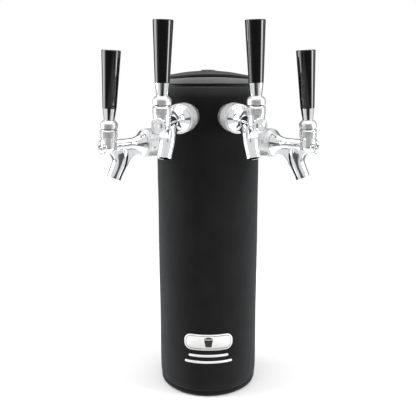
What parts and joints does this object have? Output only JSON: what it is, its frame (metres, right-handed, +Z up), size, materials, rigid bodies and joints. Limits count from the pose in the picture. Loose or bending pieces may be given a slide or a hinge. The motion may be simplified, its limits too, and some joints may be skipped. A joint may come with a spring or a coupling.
{
  "type": "beer tap tower",
  "caption": "Column beer tower in a black neoprene sleeve, with lever taps fanned around its front and black tapered handles.",
  "frame": {"origin": "centre of the base's underside, where the tower meets the bar top", "axes": "+Z up the column, -Y to the front that the taps face, +X to the right of a person facing the tower's front"},
  "size_m": [0.2628, 0.2069, 0.4843],
  "materials": {
    "chrome_brass": "polished chrome on brass",
    "stainless": "brushed stainless steel",
    "gloss_black": "gloss black moulded plastic",
    "black_plastic": "matt black plastic",
    "nylon": "natural nylon",
    "black_rubber": "moulded black rubber",
    "neoprene": "knit-faced black neoprene foam"
  },
  "bodies": {
    "tower": {"base_flange": "stainless", "base_gasket": "black_rubber", "tower_tube": "stainless", "tube_cap": "black_plastic", "neoprene_sleeve": "neoprene", "sleeve_lid": "neoprene", "lid_seam_tape": "neoprene", "outer_saddle_washers": "nylon", "inner_saddle_washers": "nylon", "shank_lock_nuts": "stainless", "shank_tails": "stainless", "coupling_washers": "black_rubber", "shank_outer_left": "chrome_brass", "coupling_nut_outer_left": "chrome_brass", "faucet_body_outer_left": "chrome_brass", "bonnet_outer_left": "chrome_brass", "friction_ring_outer_left": "nylon", "shank_inner_left": "chrome_brass", "coupling_nut_inner_left": "chrome_brass", "faucet_body_inner_left": "chrome_brass", "bonnet_inner_left": "chrome_brass", "friction_ring_inner_left": "nylon", "shank_inner_right": "chrome_brass", "coupling_nut_inner_right": "chrome_brass", "faucet_body_inner_right": "chrome_brass", "bonnet_inner_right": "chrome_brass", "friction_ring_inner_right": "nylon", "shank_outer_right": "chrome_brass", "coupling_nut_outer_right": "chrome_brass", "faucet_body_outer_right": "chrome_brass", "bonnet_outer_right": "chrome_brass", "friction_ring_outer_right": "nylon"},
    "lever_arm_outer_left": {"lever_outer_left": "stainless", "lever_collar_outer_left": "chrome_brass", "handle_ferrule_outer_left": "chrome_brass", "handle_outer_left": "gloss_black"},
    "plunger_outer_left": {"shaft_outer_left": "stainless", "seat_washer_outer_left": "black_rubber"},
    "lever_arm_inner_left": {"lever_inner_left": "stainless", "lever_collar_inner_left": "chrome_brass", "handle_ferrule_inner_left": "chrome_brass", "handle_inner_left": "gloss_black"},
    "plunger_inner_left": {"shaft_inner_left": "stainless", "seat_washer_inner_left": "black_rubber"},
    "lever_arm_inner_right": {"lever_inner_right": "stainless", "lever_collar_inner_right": "chrome_brass", "handle_ferrule_inner_right": "chrome_brass", "handle_inner_right": "gloss_black"},
    "plunger_inner_right": {"shaft_inner_right": "stainless", "seat_washer_inner_right": "black_rubber"},
    "lever_arm_outer_right": {"lever_outer_right": "stainless", "lever_collar_outer_right": "chrome_brass", "handle_ferrule_outer_right": "chrome_brass", "handle_outer_right": "gloss_black"},
    "plunger_outer_right": {"shaft_outer_right": "stainless", "seat_washer_outer_right": "black_rubber"}
  },
  "joints": [
    {"name": "pour_outer_left", "type": "hinge", "parent": "tower", "child": "lever_arm_outer_left", "pos_m": [-0.11804, -0.07149, 0.351], "axis": [0.518, -0.8554, 0], "range_deg": [0, 32]},
    {"name": "plunge_outer_left", "type": "slide", "parent": "tower", "child": "plunger_outer_left", "axis": [0.8554, 0.518, 0], "range_m": [0, 0.0083]},
    {"name": "pour_inner_left", "type": "hinge", "parent": "tower", "child": "lever_arm_inner_left", "pos_m": [-0.05183, -0.1279, 0.3857], "axis": [0.9268, -0.3756, 0], "range_deg": [0, 32]},
    {"name": "plunge_inner_left", "type": "slide", "parent": "tower", "child": "plunger_inner_left", "axis": [0.3756, 0.9268, 0], "range_m": [0, 0.0083]},
    {"name": "pour_inner_right", "type": "hinge", "parent": "tower", "child": "lever_arm_inner_right", "pos_m": [0.05183, -0.1279, 0.3857], "axis": [0.9268, 0.3756, 0], "range_deg": [0, 32]},
    {"name": "plunge_inner_right", "type": "slide", "parent": "tower", "child": "plunger_inner_right", "axis": [-0.3756, 0.9268, 0], "range_m": [0, 0.0083]},
    {"name": "pour_outer_right", "type": "hinge", "parent": "tower", "child": "lever_arm_outer_right", "pos_m": [0.11804, -0.07149, 0.351], "axis": [0.518, 0.8554, 0], "range_deg": [0, 32]},
    {"name": "plunge_outer_right", "type": "slide", "parent": "tower", "child": "plunger_outer_right", "axis": [-0.8554, 0.518, 0], "range_m": [0, 0.0083]}
  ],
  "couplings": [
    {"joint": "plunge_outer_left", "follows": "pour_outer_left", "m_per_rad": 0.014675},
    {"joint": "plunge_inner_left", "follows": "pour_inner_left", "m_per_rad": 0.014675},
    {"joint": "plunge_inner_right", "follows": "pour_inner_right", "m_per_rad": 0.014675},
    {"joint": "plunge_outer_right", "follows": "pour_outer_right", "m_per_rad": 0.014675}
  ]
}
